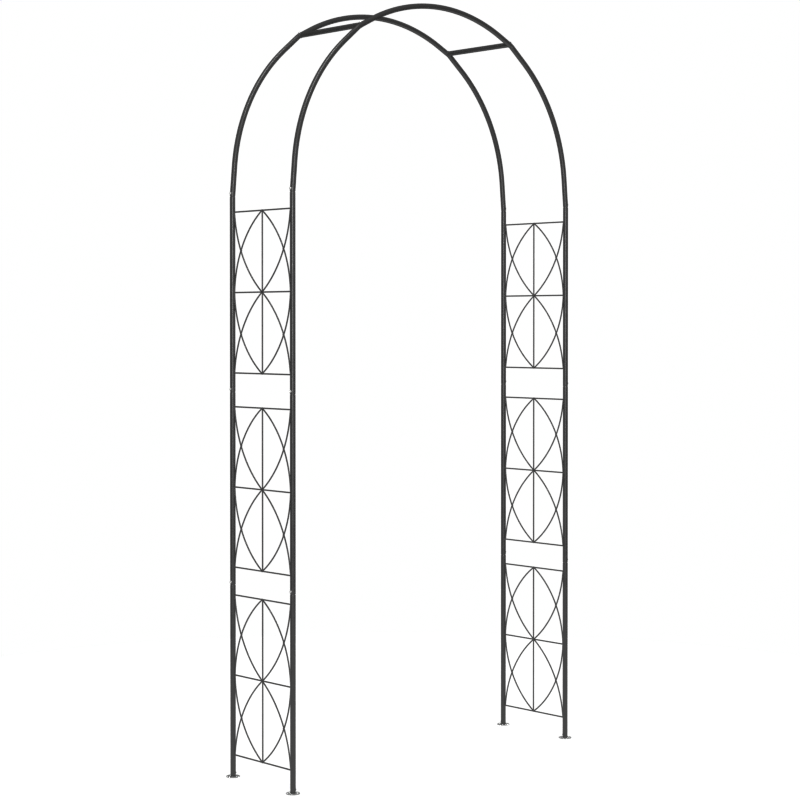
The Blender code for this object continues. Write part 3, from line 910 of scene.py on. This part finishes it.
class Nodes:
    """Short ways to add and join a material's nodes."""

    def __init__(self, name):
        self.material = bpy.data.materials.new(name)
        self.material.use_nodes = True
        self.tree = self.material.node_tree
        self.shader = self.tree.nodes["Principled BSDF"]
        self.places = self.tree.nodes.new("ShaderNodeTexCoord").outputs["Object"]

    def join(self, source, target):
        """Join an output to an input."""
        self.tree.links.new(source, target)

    def noise(self, size, detail=2.0, rough=0.5):
        """Return noise whose features are about this size, in metres."""
        node = self.tree.nodes.new("ShaderNodeTexNoise")
        node.inputs["Scale"].default_value = 1 / size
        node.inputs["Detail"].default_value = detail
        node.inputs["Roughness"].default_value = rough
        self.join(self.places, node.inputs["Vector"])
        return node.outputs["Fac"]

    def cells(self, size):
        """Return the distance to the nearest of scattered cells of this size."""
        node = self.tree.nodes.new("ShaderNodeTexVoronoi")
        node.inputs["Scale"].default_value = 1 / size
        self.join(self.places, node.inputs["Vector"])
        return node.outputs["Distance"]

    def ramp(self, source, low, high, start, end):
        """Return a value mapped from low..high to start..end."""
        node = self.tree.nodes.new("ShaderNodeMapRange")
        node.inputs["From Min"].default_value = low
        node.inputs["From Max"].default_value = high
        node.inputs["To Min"].default_value = start
        node.inputs["To Max"].default_value = end
        self.join(source, node.inputs["Value"])
        return node.outputs["Result"]

    def math(self, operation, first, second):
        """Return two values combined."""
        node = self.tree.nodes.new("ShaderNodeMath")
        node.operation = operation
        for value, socket in zip((first, second), node.inputs):
            if isinstance(value, float):
                socket.default_value = value
            else:
                self.join(value, socket)
        return node.outputs["Value"]

    def attribute(self, name):
        """Return a value that the mesh carries."""
        node = self.tree.nodes.new("ShaderNodeAttribute")
        node.attribute_name = name
        return node.outputs["Fac"]

    def blend(self, factor, first, second):
        """Return two colours mixed by a factor."""
        node = self.tree.nodes.new("ShaderNodeMix")
        node.data_type = "RGBA"
        self.join(factor, node.inputs["Factor"])
        for value, socket in zip((first, second), (node.inputs["A"], node.inputs["B"])):
            if isinstance(value, tuple):
                socket.default_value = value
            else:
                self.join(value, socket)
        return node.outputs["Result"]

    def bump(self, height, depth, strength, under=None):
        """Return a surface normal raised by a height."""
        node = self.tree.nodes.new("ShaderNodeBump")
        node.inputs["Distance"].default_value = depth
        node.inputs["Strength"].default_value = strength
        self.join(height, node.inputs["Height"])
        if under is not None:
            self.join(under, node.inputs["Normal"])
        return node.outputs["Normal"]


def tinted(colour, amount):
    """Return an opaque colour scaled by an amount."""
    return (*[min(1.0, channel * amount) for channel in colour], 1.0)


def powder_coat(name, finish, tone):
    """Charcoal powder coat: orange peel, pigment fleck, soft clouding and rubbed edges."""
    nodes = Nodes(name)
    cloud = nodes.ramp(nodes.noise(0.11, 3.0), 0.3, 0.7, 0.0, 1.0)
    fleck = nodes.ramp(nodes.noise(0.9 * MM, 1.0), 0.35, 0.65, 0.0, 1.0)
    base = nodes.blend(cloud, tinted(finish.coat, 0.90 * tone), tinted(finish.coat, 1.10 * tone))
    speckled = nodes.blend(fleck, base, tinted(finish.coat, 1.18 * tone))
    patch = nodes.ramp(nodes.noise(1.6 * MM, 3.0, 0.7), 0.42, 0.62, 0.0, 1.0)
    worn = nodes.math("MULTIPLY", nodes.attribute("rub"), patch)
    coloured = nodes.blend(worn, speckled, tinted(finish.coat_rub, 1.0))
    nodes.join(coloured, nodes.shader.inputs["Base Color"])
    gloss = nodes.noise(0.035, 2.0)
    low = finish.coat_roughness - 0.05
    high = finish.coat_roughness + 0.06
    rough = nodes.ramp(gloss, 0.3, 0.7, low, high)
    polish = nodes.math("MULTIPLY", worn, 0.10)
    nodes.join(nodes.math("SUBTRACT", rough, polish), nodes.shader.inputs["Roughness"])
    peel = nodes.bump(nodes.noise(finish.peel_size, 1.5), finish.peel_depth, 0.55)
    grain = nodes.bump(nodes.noise(0.35 * MM, 1.0), 0.2 * finish.peel_depth, 0.4, peel)
    nodes.join(grain, nodes.shader.inputs["Normal"])
    nodes.shader.inputs["Specular IOR Level"].default_value = 0.5
    return nodes.material


def plated(name, base, roughness, metallic):
    """Plated steel: fine crystals, faint tumbling scratches and uneven gloss."""
    nodes = Nodes(name)
    crystals = nodes.ramp(nodes.cells(0.45 * MM), 0.0, 0.7, 0.0, 1.0)
    cloud = nodes.ramp(nodes.noise(2.5 * MM, 3.0), 0.3, 0.7, 0.0, 1.0)
    first = nodes.blend(crystals, tinted(base, 0.90), tinted(base, 1.05))
    coloured = nodes.blend(cloud, first, tinted(base, 0.96))
    nodes.join(coloured, nodes.shader.inputs["Base Color"])
    rough = nodes.ramp(nodes.noise(0.8 * MM, 3.0), 0.3, 0.7, roughness - 0.06, roughness + 0.08)
    nodes.join(rough, nodes.shader.inputs["Roughness"])
    scratch = nodes.bump(nodes.noise(0.3 * MM, 4.0, 0.7), 0.01 * MM, 0.5)
    nodes.join(scratch, nodes.shader.inputs["Normal"])
    # Below full metallic the base colour shows as diffuse colour; on the zinc screws that is a painted
    # reflection of bright surroundings.
    nodes.shader.inputs["Metallic"].default_value = metallic
    return nodes.material


def pale_floor(stage):
    """Pale studio floor with a barely uneven tone."""
    nodes = Nodes("pale_floor")
    cloud = nodes.ramp(nodes.noise(1.5, 2.0), 0.3, 0.7, 0.0, 1.0)
    coloured = nodes.blend(cloud, tinted(stage.floor, 0.99), tinted(stage.floor, 1.0))
    nodes.join(coloured, nodes.shader.inputs["Base Color"])
    nodes.shader.inputs["Roughness"].default_value = 0.9
    nodes.shader.inputs["Specular IOR Level"].default_value = 0.1
    return nodes.material


def painted_plate(finish):
    """Mid-grey paint on a stamped plate: clouding, fleck, uneven gloss and a soft texture."""
    nodes = Nodes("arch_foot_coat")
    cloud = nodes.ramp(nodes.noise(12 * MM, 3.0), 0.3, 0.7, 0.0, 1.0)
    fleck = nodes.ramp(nodes.noise(0.6 * MM, 1.0), 0.35, 0.65, 0.0, 1.0)
    grey = finish.plate_grey
    base = nodes.blend(cloud, tinted(grey, 0.92), tinted(grey, 1.06))
    speckled = nodes.blend(fleck, base, tinted(grey, 1.10))
    coloured = nodes.blend(nodes.attribute("rub"), speckled, tinted(grey, 1.35))
    nodes.join(coloured, nodes.shader.inputs["Base Color"])
    rough = nodes.ramp(nodes.noise(6 * MM, 2.0), 0.3, 0.7, 0.30, 0.40)
    nodes.join(rough, nodes.shader.inputs["Roughness"])
    texture = nodes.bump(nodes.noise(0.8 * MM, 2.0), 0.02 * MM, 0.5)
    nodes.join(texture, nodes.shader.inputs["Normal"])
    return nodes.material


def material_for(slot, finish):
    """Return the finish of a material slot, made once."""
    found = bpy.data.materials.get(f"arch_{slot}")
    if found is not None:
        return found
    makers = {
        "tube_coat": lambda name: powder_coat(name, finish, 1.0),
        "rod_coat": lambda name: powder_coat(name, finish, 0.85),
        "foot_coat": lambda name: painted_plate(finish),
        # Zinc at half metallic: its diffuse grey is a painted reflection of bright surroundings, over the
        # plating's own grey.
        "zinc": lambda name: plated(name, finish.zinc, finish.zinc_roughness, 0.5),
        "black_screw": lambda name: plated(name, finish.oxide, finish.oxide_roughness, 0.6),
    }
    return makers[slot](f"arch_{slot}")


# --- Operators ----------------------------------------------------------------------


def light_group(name):
    """Return a light-linking group, made once."""
    return bpy.data.collections.get(name) or bpy.data.collections.new(name)


def link_light(name, obj, state):
    """Return a light-linking group, after taking an object in or leaving it out."""
    group = light_group(name)
    group.objects.link(obj)
    group.collection_objects[-1].light_linking.link_state = state
    return group


class ARCH_OT_leg_tubes(bpy.types.Operator):
    """Build the twelve straight leg tubes with their sockets and swaged spigots"""

    bl_idname = "trellis_arch.leg_tubes"
    bl_label = "Leg Tubes"

    def execute(self, context):
        settings = context.scene.trellis_arch
        material = material_for("tube_coat", settings.finish)
        for index, section in enumerate(SECTIONS):
            lean = settings.hoop.lean if index == len(SECTIONS) - 1 else 0.0
            mesh = leg_mesh(index, lean, settings.tube)
            for corner, side, end in corners():
                node = f"{section}_leg_{corner}"
                matrix = corner_matrix(side, end)
                place_piece(f"{node}_tube", mesh, material, matrix, [node])
        return {"FINISHED"}


class ARCH_OT_feet(bpy.types.Operator):
    """Build the four round foot plates"""

    bl_idname = "trellis_arch.feet"
    bl_label = "Feet"

    def execute(self, context):
        settings = context.scene.trellis_arch
        material = material_for("foot_coat", settings.finish)
        mesh = foot_mesh(settings.fastener, settings.tube)
        for corner, side, end in corners():
            node = f"foot_{corner}"
            matrix = corner_matrix(side, end)
            plate = place_piece(f"{node}_plate", mesh, material, matrix, [node])
            link_light("plates", plate, "INCLUDE")
        return {"FINISHED"}


class ARCH_OT_hoops(bpy.types.Operator):
    """Build the four haunches and the two crowns"""

    bl_idname = "trellis_arch.hoops"
    bl_label = "Hoops"

    def execute(self, context):
        settings = context.scene.trellis_arch
        material = material_for("tube_coat", settings.finish)
        line = HoopLine(settings.hoop)
        haunch = haunch_mesh(line, settings.tube)
        crown = crown_mesh(line, settings.tube)
        for end_name, end in ENDS.items():
            node = f"crown_{end_name}"
            matrix = side_matrix(-1, end * HALF_DEPTH)
            place_piece(f"{node}_tube", crown, material, matrix, [node])
            for side_name, side in SIDES.items():
                node = f"haunch_{side_name}_{end_name}"
                matrix = side_matrix(side, end * HALF_DEPTH)
                place_piece(f"{node}_tube", haunch, material, matrix, [node])
        return {"FINISHED"}


class ARCH_OT_crossbars(bpy.types.Operator):
    """Build the two crossbars and the weld beads at their ends"""

    bl_idname = "trellis_arch.crossbars"
    bl_label = "Crossbars"

    def execute(self, context):
        settings = context.scene.trellis_arch
        material = material_for("tube_coat", settings.finish)
        line = HoopLine(settings.hoop)
        mesh = crossbar_mesh(line, settings.tube)
        beads = crossbar_weld_mesh(line)
        for side_name, side in SIDES.items():
            node = f"crossbar_{side_name}"
            matrix = side_matrix(side)
            place_piece(f"{node}_tube", mesh, material, matrix, [node])
            place_piece(f"{node}_welds", beads, material, matrix)
        return {"FINISHED"}


class ARCH_OT_trellis(bpy.types.Operator):
    """Build the rails, rods, lenses and scrolls of the six trellis panels"""

    bl_idname = "trellis_arch.trellis"
    bl_label = "Trellis Panels"

    def execute(self, context):
        settings = context.scene.trellis_arch
        material = material_for("rod_coat", settings.finish)
        plan = PanelPlan(settings.trellis)
        ladder = ladder_mesh(plan, settings.trellis)
        scrollwork = scrollwork_mesh(plan, settings.trellis)
        welds = panel_weld_mesh(plan, settings.trellis)
        for side_name, side in SIDES.items():
            for section, base in zip(SECTIONS, PANEL_BASES):
                panel = f"{section}_{side_name}"
                height = base + plan.rod
                matrix = corner_matrix(side, 0) @ Matrix.Translation((0, 0, height))
                for kind, mesh in (("rail_ladder", ladder), ("scrollwork", scrollwork)):
                    node = f"{kind}_{panel}"
                    place_piece(f"{node}_rods", mesh, material, matrix, [node])
                place_piece(f"panel_welds_{panel}", welds, material, matrix)
        return {"FINISHED"}


class ARCH_OT_screws(bpy.types.Operator):
    """Build the joint screws and the foot screws"""

    bl_idname = "trellis_arch.screws"
    bl_label = "Screws"

    def execute(self, context):
        settings = context.scene.trellis_arch
        line = HoopLine(settings.hoop)
        zinc = material_for("zinc", settings.finish)
        oxide = material_for("black_screw", settings.finish)
        fastener = settings.fastener
        domed = screw_mesh(fastener, fastener.head_height, SCREW_LENGTH)
        low = screw_mesh(fastener, fastener.low_head_height, FOOT_SCREW_LENGTH)
        seat = TUBE_RADIUS + 0.05 * MM
        level = Vector((-1, 0, 0))
        joints = [
            ("lower", Vector((-HALF_SPAN, 0, JOINT_LIPS[0] + SCREW_ABOVE_LIP)), level),
            ("middle", Vector((-HALF_SPAN, 0, JOINT_LIPS[1] + SCREW_ABOVE_LIP)), level),
            ("upper", line.lip + line.lean_along * SCREW_ABOVE_LIP, line.lean_outward),
            ("crown", line.crossbar, line.crown_outward),
        ]
        for corner, side, end in corners():
            depth = end * HALF_DEPTH
            for index, (joint, axis_place, aim) in enumerate(joints):
                node = f"{joint}_joint_screw_{corner}"
                spot = axis_place + aim * seat
                place = Vector((-side * spot.x, depth, spot.z))
                outward = (-side * aim.x, 0, aim.z)
                turn = index * 0.7 + side + end
                self.add_screw(node, domed, place, outward, zinc, turn)
            place = Vector((side * (HALF_SPAN - seat), depth, FOOT_SCREW_HEIGHT))
            self.add_screw(f"foot_screw_{corner}", low, place, (-side, 0, 0), oxide, 2.8 + end)
        return {"FINISHED"}

    def add_screw(self, node, mesh, place, direction, material, turn):
        """Place one screw, driven to its own angle."""
        aim = Vector(direction).to_track_quat("Z", "Y").to_matrix().to_4x4()
        matrix = Matrix.Translation(place) @ aim @ Matrix.Rotation(turn, 4, "Z")
        place_piece(f"{node}_head", mesh, material, matrix, [node])


def displayed(tone):
    """Return how bright a screen shows a linear tone."""
    return 1.055 * tone ** (1 / 2.4) - 0.055


def undisplayed(level):
    """Return the linear tone that a screen shows this bright."""
    return ((level + 0.055) / 1.055) ** 2.4


class ARCH_OT_stage(bpy.types.Operator):
    """Set up the pale floor, the soft studio light and the camera"""

    bl_idname = "trellis_arch.stage"
    bl_label = "Stage"

    def execute(self, context):
        stage = context.scene.trellis_arch.stage
        self.add_floor(context.scene, stage)
        self.add_surroundings(context.scene, stage)
        self.add_camera(context.scene, stage)
        self.add_softboxes(context.scene, stage)
        return {"FINISHED"}

    def add_floor(self, scene, stage):
        """Lay a round floor, washed with light that nothing else gets."""
        shape = bmesh.new()
        bmesh.ops.create_circle(shape, cap_ends=True, segments=96, radius=stage.floor_radius)
        mesh = finish_shape(shape, "studio_floor")
        mesh.materials.append(pale_floor(stage))
        floor = bpy.data.objects.new("studio_floor", mesh)
        scene.collection.objects.link(floor)
        data = bpy.data.lights.new("floor_wash", "SUN")
        data.energy = stage.wash
        data.angle = math.radians(90)
        wash = bpy.data.objects.new("floor_wash", data)
        wash.location = (0, 0, ARCH_TOP + 1)
        scene.collection.objects.link(wash)
        wash.light_linking.receiver_collection = link_light("washed", floor, "INCLUDE")
        wash.light_linking.blocker_collection = link_light("shading", floor, "INCLUDE")
        self.flagged = link_light("flagged", floor, "EXCLUDE")

    def add_surroundings(self, scene, stage):
        """Surround the stage with white that gives only a little light."""
        world = bpy.data.worlds.new("studio")
        world.use_nodes = True
        tree = world.node_tree
        background = tree.nodes["Background"]
        background.inputs["Color"].default_value = (1.0, 1.0, 1.0, 1.0)
        seen = tree.nodes.new("ShaderNodeLightPath")
        level = tree.nodes.new("ShaderNodeMapRange")
        level.inputs["To Min"].default_value = stage.ambient
        level.inputs["To Max"].default_value = stage.backdrop
        tree.links.new(seen.outputs["Is Camera Ray"], level.inputs["Value"])
        tree.links.new(level.outputs["Result"], background.inputs["Strength"])
        scene.world = world
        scene.view_settings.view_transform = "Standard"
        scene.view_settings.look = "None"
        self.set_print_curve(scene.view_settings, stage.charcoal)

    def set_print_curve(self, view, charcoal):
        """Deepen the midtones as on a catalogue print, keeping white and the dark tones."""
        view.use_curve_mapping = True
        curve = view.curve_mapping.curves[3]
        dark = displayed(charcoal)
        curve.points.new(charcoal, charcoal)
        for step in range(1, 8):
            whiteness = step / 8
            tone = charcoal + whiteness * (1 - charcoal)
            curve.points.new(tone, undisplayed(dark + whiteness * (1 - dark)))
        view.curve_mapping.update()

    def add_camera(self, scene, stage):
        """Stand the camera at the front left, looking a little down."""
        data = bpy.data.cameras.new("studio_camera")
        data.lens = stage.lens
        data.sensor_width = 36.0
        data.shift_y = stage.lift
        camera = bpy.data.objects.new("studio_camera", data)
        camera.location = (
            -stage.reach * math.sin(stage.bearing),
            -stage.reach * math.cos(stage.bearing),
            stage.height,
        )
        camera.rotation_euler = (math.pi / 2 - stage.tilt, 0.0, -stage.heading)
        scene.collection.objects.link(camera)
        scene.camera = camera

    def add_softboxes(self, scene, stage):
        """Stand a tall softbox behind the camera, hang a long one and set a low one behind."""
        toward = Vector((-math.sin(stage.bearing), -math.cos(stage.bearing), 0.0))
        key_place = toward * stage.key_distance + Vector((0, 0, stage.key_height))
        middle = Vector((0, 0, ARCH_TOP / 2))
        size = (stage.key_width, stage.key_tall)
        key = self.add_softbox(scene, "key_softbox", stage.key_power, size, key_place, middle)
        key.light_linking.receiver_collection = self.flagged
        top = Vector((0, 0, ARCH_TOP))
        lift = Vector((0, 0, math.sin(stage.boom_height)))
        boom_place = top + (toward * math.cos(stage.boom_height) + lift) * stage.boom_distance
        size = (stage.boom_width, stage.boom_long)
        boom = self.add_softbox(scene, "boom_softbox", stage.boom_power, size, boom_place, top)
        boom.light_linking.receiver_collection = self.flagged
        rim_place = Vector((0, 0, stage.rim_height)) - toward * stage.rim_distance
        size = (stage.rim_width, stage.rim_tall)
        ground = Vector((0, 0, 0))
        rim = self.add_softbox(scene, "rim_softbox", stage.rim_power, size, rim_place, ground)
        rim.light_linking.receiver_collection = light_group("plates")

    def add_softbox(self, scene, name, power, size, place, target):
        """Aim one softbox."""
        data = bpy.data.lights.new(name, "AREA")
        data.shape = "RECTANGLE"
        data.energy = power
        data.size, data.size_y = size
        light = bpy.data.objects.new(name, data)
        light.location = place
        light.rotation_mode = "QUATERNION"
        light.rotation_quaternion = (target - place).to_track_quat("-Z", "Y")
        scene.collection.objects.link(light)
        return light


# --- Panel and registration ---------------------------------------------------------


BUILD_ORDER = (
    ARCH_OT_stage,
    ARCH_OT_leg_tubes,
    ARCH_OT_feet,
    ARCH_OT_hoops,
    ARCH_OT_crossbars,
    ARCH_OT_trellis,
    ARCH_OT_screws,
)


class ARCH_PT_sidebar(bpy.types.Panel):
    """List the arch's operators and settings"""

    bl_idname = "ARCH_PT_sidebar"
    bl_label = "Trellis Arch"
    bl_space_type = "VIEW_3D"
    bl_region_type = "UI"
    bl_category = "Trellis Arch"

    def draw(self, context):
        layout = self.layout
        for operator in BUILD_ORDER:
            layout.operator(operator.bl_idname)
        settings = context.scene.trellis_arch
        for group_name in settings.bl_rna.properties.keys():
            group = getattr(settings, group_name)
            if not isinstance(group, bpy.types.PropertyGroup):
                continue
            box = layout.box()
            box.label(text=group_name.title())
            for name in group.bl_rna.properties.keys():
                if name not in ("rna_type", "name"):
                    box.prop(group, name)


CLASSES = (
    TubeSettings,
    HoopSettings,
    TrellisSettings,
    FastenerSettings,
    FinishSettings,
    StageSettings,
    TrellisArchSettings,
    *BUILD_ORDER,
    ARCH_PT_sidebar,
)


def register():
    """Register the classes and hang the settings on the scene."""
    for item in CLASSES:
        bpy.utils.register_class(item)
    bpy.types.Scene.trellis_arch = PointerProperty(type=TrellisArchSettings)


def unregister():
    """Undo register."""
    del bpy.types.Scene.trellis_arch
    for item in reversed(CLASSES):
        bpy.utils.unregister_class(item)


def main():
    """Register and build every piece in order."""
    register()
    for operator in BUILD_ORDER:
        name = operator.bl_idname.split(".")[1]
        getattr(bpy.ops.trellis_arch, name)()


if __name__ == "__main__":
    main()
